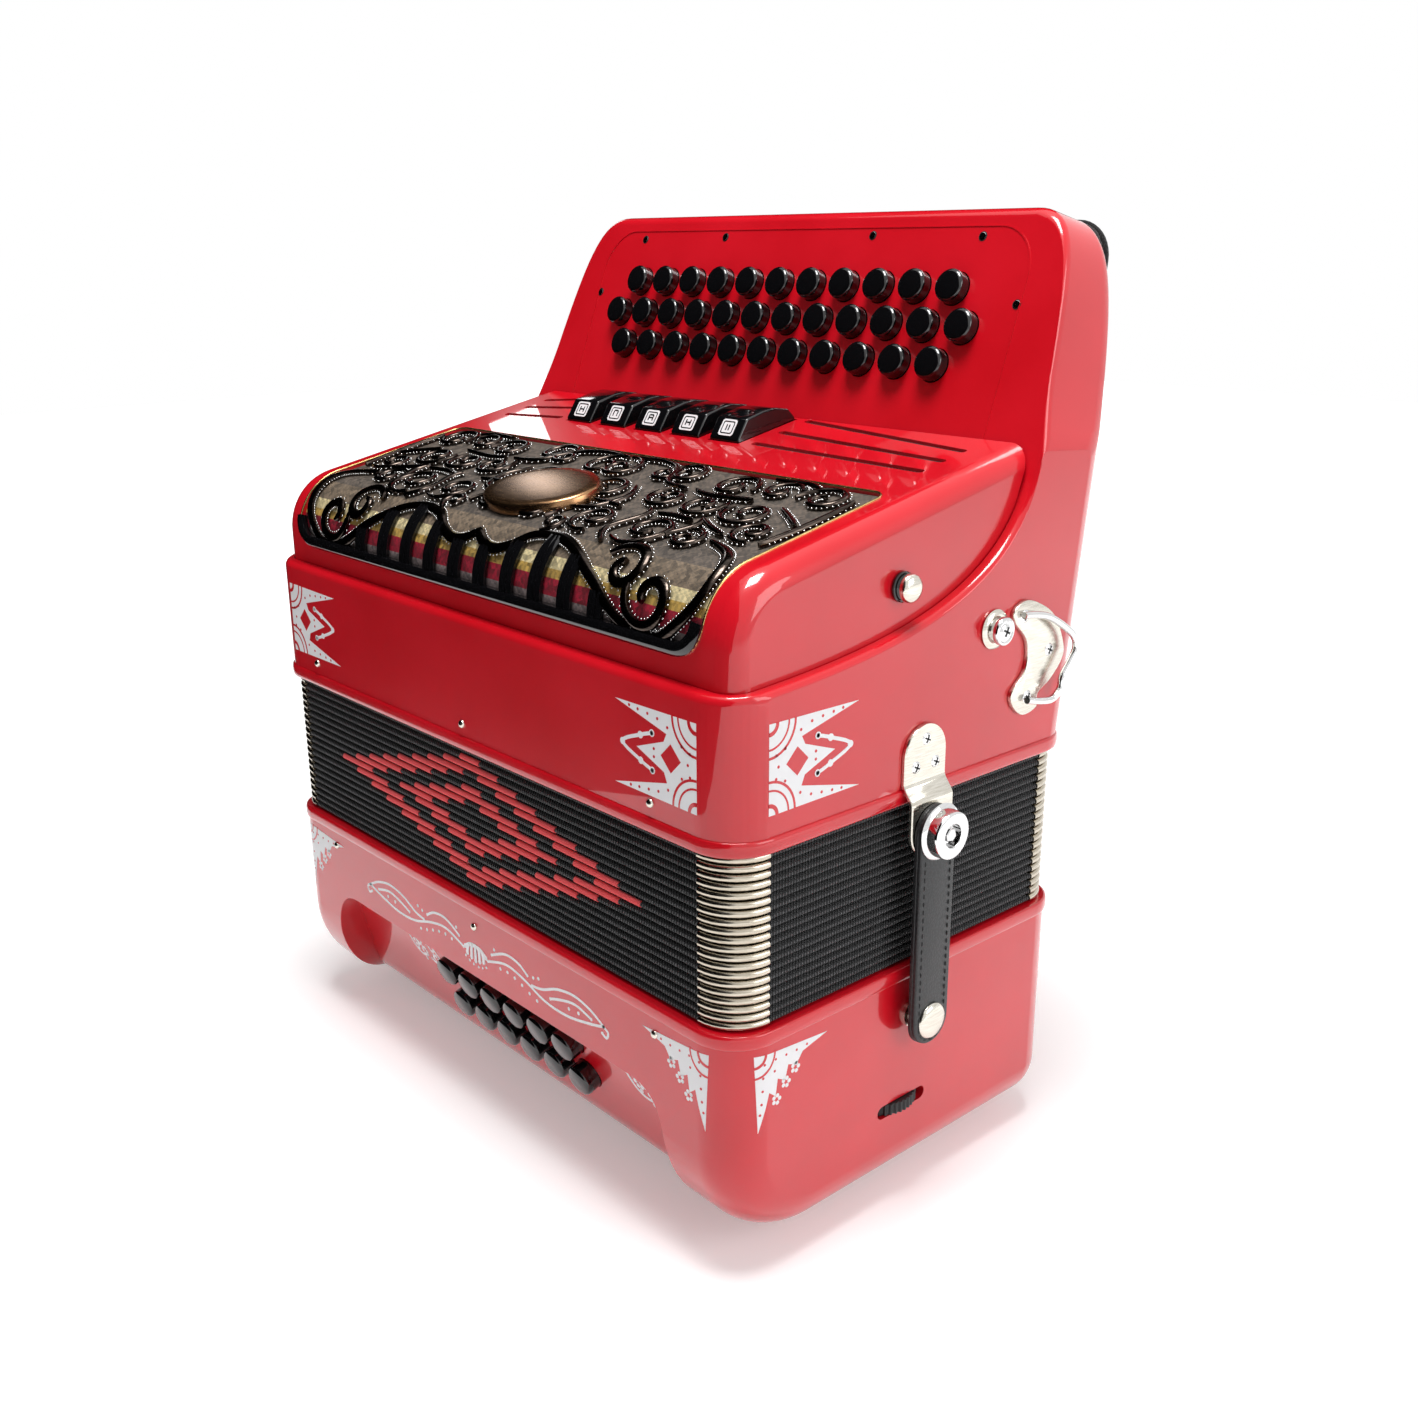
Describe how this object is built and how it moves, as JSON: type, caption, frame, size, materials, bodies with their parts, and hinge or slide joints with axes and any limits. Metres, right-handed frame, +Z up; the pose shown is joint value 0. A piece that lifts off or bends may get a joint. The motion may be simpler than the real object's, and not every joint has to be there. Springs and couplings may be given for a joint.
{
  "type": "diatonic button accordion",
  "caption": "Diatonic button accordion standing on its bass end, with pressed-in buttons, register switches, a folding bellows and two snap straps.",
  "frame": {"origin": "centre of the outline's bounding box, on the floor under the feet", "axes": "+X along the casing towards the end with the thumbwheel, -Y towards the grille and bass buttons, +Y towards the player, +Z up, the way the bellows opens"},
  "size_m": [0.3346, 0.2308, 0.363],
  "materials": {
    "red_lacquer": "glossy red lacquer over the case, bright lacquered edges",
    "cover_paint": "glossy red paint on a thin metal cover",
    "black_gloss": "polished black plastic",
    "black_cloth": "black textured cloth over folded card",
    "black_leather": "black leather, stitched edges",
    "wheel_plastic": "black ridged plastic"
  },
  "bodies": {
    "bass": {"bass_case": "red_lacquer", "bass_strap": "black_leather", "bellows": "black_cloth"},
    "treble": {"treble_case": "red_lacquer", "grille_cover": "cover_paint"},
    "air_button": {"air_button": "black_gloss"},
    "bass_button_1_1": {"bass_button_1_1": "black_gloss"},
    "bass_button_1_2": {"bass_button_1_2": "black_gloss"},
    "bass_button_1_3": {"bass_button_1_3": "black_gloss"},
    "bass_button_1_4": {"bass_button_1_4": "black_gloss"},
    "bass_button_1_5": {"bass_button_1_5": "black_gloss"},
    "bass_button_1_6": {"bass_button_1_6": "black_gloss"},
    "bass_button_2_1": {"bass_button_2_1": "black_gloss"},
    "bass_button_2_2": {"bass_button_2_2": "black_gloss"},
    "bass_button_2_3": {"bass_button_2_3": "black_gloss"},
    "bass_button_2_4": {"bass_button_2_4": "black_gloss"},
    "bass_button_2_5": {"bass_button_2_5": "black_gloss"},
    "bass_button_2_6": {"bass_button_2_6": "black_gloss"},
    "bellows_strap_left": {"bellows_strap_left": "black_leather"},
    "bellows_strap_right": {"bellows_strap_right": "black_leather"},
    "register_switch_1": {"register_switch_1": "black_gloss"},
    "register_switch_2": {"register_switch_2": "black_gloss"},
    "register_switch_3": {"register_switch_3": "black_gloss"},
    "register_switch_4": {"register_switch_4": "black_gloss"},
    "register_switch_5": {"register_switch_5": "black_gloss"},
    "strap_wheel": {"strap_wheel": "wheel_plastic"},
    "treble_button_1_01": {"treble_button_1_01": "black_gloss"},
    "treble_button_1_02": {"treble_button_1_02": "black_gloss"},
    "treble_button_1_03": {"treble_button_1_03": "black_gloss"},
    "treble_button_1_04": {"treble_button_1_04": "black_gloss"},
    "treble_button_1_05": {"treble_button_1_05": "black_gloss"},
    "treble_button_1_06": {"treble_button_1_06": "black_gloss"},
    "treble_button_1_07": {"treble_button_1_07": "black_gloss"},
    "treble_button_1_08": {"treble_button_1_08": "black_gloss"},
    "treble_button_1_09": {"treble_button_1_09": "black_gloss"},
    "treble_button_1_10": {"treble_button_1_10": "black_gloss"},
    "treble_button_1_11": {"treble_button_1_11": "black_gloss"},
    "treble_button_2_01": {"treble_button_2_01": "black_gloss"},
    "treble_button_2_02": {"treble_button_2_02": "black_gloss"},
    "treble_button_2_03": {"treble_button_2_03": "black_gloss"},
    "treble_button_2_04": {"treble_button_2_04": "black_gloss"},
    "treble_button_2_05": {"treble_button_2_05": "black_gloss"},
    "treble_button_2_06": {"treble_button_2_06": "black_gloss"},
    "treble_button_2_07": {"treble_button_2_07": "black_gloss"},
    "treble_button_2_08": {"treble_button_2_08": "black_gloss"},
    "treble_button_2_09": {"treble_button_2_09": "black_gloss"},
    "treble_button_2_10": {"treble_button_2_10": "black_gloss"},
    "treble_button_2_11": {"treble_button_2_11": "black_gloss"},
    "treble_button_2_12": {"treble_button_2_12": "black_gloss"},
    "treble_button_3_01": {"treble_button_3_01": "black_gloss"},
    "treble_button_3_02": {"treble_button_3_02": "black_gloss"},
    "treble_button_3_03": {"treble_button_3_03": "black_gloss"},
    "treble_button_3_04": {"treble_button_3_04": "black_gloss"},
    "treble_button_3_05": {"treble_button_3_05": "black_gloss"},
    "treble_button_3_06": {"treble_button_3_06": "black_gloss"},
    "treble_button_3_07": {"treble_button_3_07": "black_gloss"},
    "treble_button_3_08": {"treble_button_3_08": "black_gloss"},
    "treble_button_3_09": {"treble_button_3_09": "black_gloss"},
    "treble_button_3_10": {"treble_button_3_10": "black_gloss"},
    "treble_button_3_11": {"treble_button_3_11": "black_gloss"}
  },
  "joints": [
    {"name": "bellows_slide", "type": "slide", "parent": "bass", "child": "treble", "axis": [0, 0, 1], "range_m": [0, 0.2], "deforming": ["bellows"]},
    {"name": "air_button_press", "type": "slide", "parent": "bass", "child": "air_button", "axis": [0, -1, 0], "range_m": [0, 0.005], "stiffness_N_per_m": 200},
    {"name": "bass_button_1_1_press", "type": "slide", "parent": "bass", "child": "bass_button_1_1", "axis": [0, 0.9511, 0.309], "range_m": [0, 0.005], "stiffness_N_per_m": 150},
    {"name": "bass_button_1_2_press", "type": "slide", "parent": "bass", "child": "bass_button_1_2", "axis": [0, 0.9511, 0.309], "range_m": [0, 0.005], "stiffness_N_per_m": 150},
    {"name": "bass_button_1_3_press", "type": "slide", "parent": "bass", "child": "bass_button_1_3", "axis": [0, 0.9511, 0.309], "range_m": [0, 0.005], "stiffness_N_per_m": 150},
    {"name": "bass_button_1_4_press", "type": "slide", "parent": "bass", "child": "bass_button_1_4", "axis": [0, 0.9511, 0.309], "range_m": [0, 0.005], "stiffness_N_per_m": 150},
    {"name": "bass_button_1_5_press", "type": "slide", "parent": "bass", "child": "bass_button_1_5", "axis": [0, 0.9511, 0.309], "range_m": [0, 0.005], "stiffness_N_per_m": 150},
    {"name": "bass_button_1_6_press", "type": "slide", "parent": "bass", "child": "bass_button_1_6", "axis": [0, 0.9511, 0.309], "range_m": [0, 0.005], "stiffness_N_per_m": 150},
    {"name": "bass_button_2_1_press", "type": "slide", "parent": "bass", "child": "bass_button_2_1", "axis": [0, 0.9511, 0.309], "range_m": [0, 0.005], "stiffness_N_per_m": 150},
    {"name": "bass_button_2_2_press", "type": "slide", "parent": "bass", "child": "bass_button_2_2", "axis": [0, 0.9511, 0.309], "range_m": [0, 0.005], "stiffness_N_per_m": 150},
    {"name": "bass_button_2_3_press", "type": "slide", "parent": "bass", "child": "bass_button_2_3", "axis": [0, 0.9511, 0.309], "range_m": [0, 0.005], "stiffness_N_per_m": 150},
    {"name": "bass_button_2_4_press", "type": "slide", "parent": "bass", "child": "bass_button_2_4", "axis": [0, 0.9511, 0.309], "range_m": [0, 0.005], "stiffness_N_per_m": 150},
    {"name": "bass_button_2_5_press", "type": "slide", "parent": "bass", "child": "bass_button_2_5", "axis": [0, 0.9511, 0.309], "range_m": [0, 0.005], "stiffness_N_per_m": 150},
    {"name": "bass_button_2_6_press", "type": "slide", "parent": "bass", "child": "bass_button_2_6", "axis": [0, 0.9511, 0.309], "range_m": [0, 0.005], "stiffness_N_per_m": 150},
    {"name": "bellows_strap_left_swing", "type": "hinge", "parent": "treble", "child": "bellows_strap_left", "pos_m": [-0.1625, -0.02423, 0.153], "axis": [1, 0, 0], "range_deg": [-209.6, 0]},
    {"name": "bellows_strap_right_swing", "type": "hinge", "parent": "treble", "child": "bellows_strap_right", "pos_m": [0.1625, -0.02423, 0.153], "axis": [1, 0, 0], "range_deg": [-209.6, 0]},
    {"name": "register_switch_1_rock", "type": "hinge", "parent": "treble", "child": "register_switch_1", "pos_m": [-0.0762, 0.01894, 0.27556], "axis": [1, 0, 0], "range_deg": [-4, 4]},
    {"name": "register_switch_2_rock", "type": "hinge", "parent": "treble", "child": "register_switch_2", "pos_m": [-0.0516, 0.01894, 0.27556], "axis": [1, 0, 0], "range_deg": [-4, 4]},
    {"name": "register_switch_3_rock", "type": "hinge", "parent": "treble", "child": "register_switch_3", "pos_m": [-0.027, 0.01894, 0.27556], "axis": [1, 0, 0], "range_deg": [-4, 4]},
    {"name": "register_switch_4_rock", "type": "hinge", "parent": "treble", "child": "register_switch_4", "pos_m": [-0.0024, 0.01894, 0.27556], "axis": [1, 0, 0], "range_deg": [-4, 4]},
    {"name": "register_switch_5_rock", "type": "hinge", "parent": "treble", "child": "register_switch_5", "pos_m": [0.0222, 0.01894, 0.27556], "axis": [1, 0, 0], "range_deg": [-4, 4]},
    {"name": "strap_wheel_turn", "type": "hinge", "parent": "bass", "child": "strap_wheel", "pos_m": [0.1412, -0.02873, 0.0408], "axis": [0, 0, 1], "range_deg": [-180, 180]},
    {"name": "treble_button_1_01_press", "type": "slide", "parent": "treble", "child": "treble_button_1_01", "axis": [0, 0.9354, -0.3535], "range_m": [0, 0.004], "stiffness_N_per_m": 150},
    {"name": "treble_button_1_02_press", "type": "slide", "parent": "treble", "child": "treble_button_1_02", "axis": [0, 0.9354, -0.3535], "range_m": [0, 0.004], "stiffness_N_per_m": 150},
    {"name": "treble_button_1_03_press", "type": "slide", "parent": "treble", "child": "treble_button_1_03", "axis": [0, 0.9354, -0.3535], "range_m": [0, 0.004], "stiffness_N_per_m": 150},
    {"name": "treble_button_1_04_press", "type": "slide", "parent": "treble", "child": "treble_button_1_04", "axis": [0, 0.9354, -0.3535], "range_m": [0, 0.004], "stiffness_N_per_m": 150},
    {"name": "treble_button_1_05_press", "type": "slide", "parent": "treble", "child": "treble_button_1_05", "axis": [0, 0.9354, -0.3535], "range_m": [0, 0.004], "stiffness_N_per_m": 150},
    {"name": "treble_button_1_06_press", "type": "slide", "parent": "treble", "child": "treble_button_1_06", "axis": [0, 0.9354, -0.3535], "range_m": [0, 0.004], "stiffness_N_per_m": 150},
    {"name": "treble_button_1_07_press", "type": "slide", "parent": "treble", "child": "treble_button_1_07", "axis": [0, 0.9354, -0.3535], "range_m": [0, 0.004], "stiffness_N_per_m": 150},
    {"name": "treble_button_1_08_press", "type": "slide", "parent": "treble", "child": "treble_button_1_08", "axis": [0, 0.9354, -0.3535], "range_m": [0, 0.004], "stiffness_N_per_m": 150},
    {"name": "treble_button_1_09_press", "type": "slide", "parent": "treble", "child": "treble_button_1_09", "axis": [0, 0.9354, -0.3535], "range_m": [0, 0.004], "stiffness_N_per_m": 150},
    {"name": "treble_button_1_10_press", "type": "slide", "parent": "treble", "child": "treble_button_1_10", "axis": [0, 0.9354, -0.3535], "range_m": [0, 0.004], "stiffness_N_per_m": 150},
    {"name": "treble_button_1_11_press", "type": "slide", "parent": "treble", "child": "treble_button_1_11", "axis": [0, 0.9354, -0.3535], "range_m": [0, 0.004], "stiffness_N_per_m": 150},
    {"name": "treble_button_2_01_press", "type": "slide", "parent": "treble", "child": "treble_button_2_01", "axis": [0, 0.9354, -0.3535], "range_m": [0, 0.004], "stiffness_N_per_m": 150},
    {"name": "treble_button_2_02_press", "type": "slide", "parent": "treble", "child": "treble_button_2_02", "axis": [0, 0.9354, -0.3535], "range_m": [0, 0.004], "stiffness_N_per_m": 150},
    {"name": "treble_button_2_03_press", "type": "slide", "parent": "treble", "child": "treble_button_2_03", "axis": [0, 0.9354, -0.3535], "range_m": [0, 0.004], "stiffness_N_per_m": 150},
    {"name": "treble_button_2_04_press", "type": "slide", "parent": "treble", "child": "treble_button_2_04", "axis": [0, 0.9354, -0.3535], "range_m": [0, 0.004], "stiffness_N_per_m": 150},
    {"name": "treble_button_2_05_press", "type": "slide", "parent": "treble", "child": "treble_button_2_05", "axis": [0, 0.9354, -0.3535], "range_m": [0, 0.004], "stiffness_N_per_m": 150},
    {"name": "treble_button_2_06_press", "type": "slide", "parent": "treble", "child": "treble_button_2_06", "axis": [0, 0.9354, -0.3535], "range_m": [0, 0.004], "stiffness_N_per_m": 150},
    {"name": "treble_button_2_07_press", "type": "slide", "parent": "treble", "child": "treble_button_2_07", "axis": [0, 0.9354, -0.3535], "range_m": [0, 0.004], "stiffness_N_per_m": 150},
    {"name": "treble_button_2_08_press", "type": "slide", "parent": "treble", "child": "treble_button_2_08", "axis": [0, 0.9354, -0.3535], "range_m": [0, 0.004], "stiffness_N_per_m": 150},
    {"name": "treble_button_2_09_press", "type": "slide", "parent": "treble", "child": "treble_button_2_09", "axis": [0, 0.9354, -0.3535], "range_m": [0, 0.004], "stiffness_N_per_m": 150},
    {"name": "treble_button_2_10_press", "type": "slide", "parent": "treble", "child": "treble_button_2_10", "axis": [0, 0.9354, -0.3535], "range_m": [0, 0.004], "stiffness_N_per_m": 150},
    {"name": "treble_button_2_11_press", "type": "slide", "parent": "treble", "child": "treble_button_2_11", "axis": [0, 0.9354, -0.3535], "range_m": [0, 0.004], "stiffness_N_per_m": 150},
    {"name": "treble_button_2_12_press", "type": "slide", "parent": "treble", "child": "treble_button_2_12", "axis": [0, 0.9354, -0.3535], "range_m": [0, 0.004], "stiffness_N_per_m": 150},
    {"name": "treble_button_3_01_press", "type": "slide", "parent": "treble", "child": "treble_button_3_01", "axis": [0, 0.9354, -0.3535], "range_m": [0, 0.004], "stiffness_N_per_m": 150},
    {"name": "treble_button_3_02_press", "type": "slide", "parent": "treble", "child": "treble_button_3_02", "axis": [0, 0.9354, -0.3535], "range_m": [0, 0.004], "stiffness_N_per_m": 150},
    {"name": "treble_button_3_03_press", "type": "slide", "parent": "treble", "child": "treble_button_3_03", "axis": [0, 0.9354, -0.3535], "range_m": [0, 0.004], "stiffness_N_per_m": 150},
    {"name": "treble_button_3_04_press", "type": "slide", "parent": "treble", "child": "treble_button_3_04", "axis": [0, 0.9354, -0.3535], "range_m": [0, 0.004], "stiffness_N_per_m": 150},
    {"name": "treble_button_3_05_press", "type": "slide", "parent": "treble", "child": "treble_button_3_05", "axis": [0, 0.9354, -0.3535], "range_m": [0, 0.004], "stiffness_N_per_m": 150},
    {"name": "treble_button_3_06_press", "type": "slide", "parent": "treble", "child": "treble_button_3_06", "axis": [0, 0.9354, -0.3535], "range_m": [0, 0.004], "stiffness_N_per_m": 150},
    {"name": "treble_button_3_07_press", "type": "slide", "parent": "treble", "child": "treble_button_3_07", "axis": [0, 0.9354, -0.3535], "range_m": [0, 0.004], "stiffness_N_per_m": 150},
    {"name": "treble_button_3_08_press", "type": "slide", "parent": "treble", "child": "treble_button_3_08", "axis": [0, 0.9354, -0.3535], "range_m": [0, 0.004], "stiffness_N_per_m": 150},
    {"name": "treble_button_3_09_press", "type": "slide", "parent": "treble", "child": "treble_button_3_09", "axis": [0, 0.9354, -0.3535], "range_m": [0, 0.004], "stiffness_N_per_m": 150},
    {"name": "treble_button_3_10_press", "type": "slide", "parent": "treble", "child": "treble_button_3_10", "axis": [0, 0.9354, -0.3535], "range_m": [0, 0.004], "stiffness_N_per_m": 150},
    {"name": "treble_button_3_11_press", "type": "slide", "parent": "treble", "child": "treble_button_3_11", "axis": [0, 0.9354, -0.3535], "range_m": [0, 0.004], "stiffness_N_per_m": 150}
  ]
}
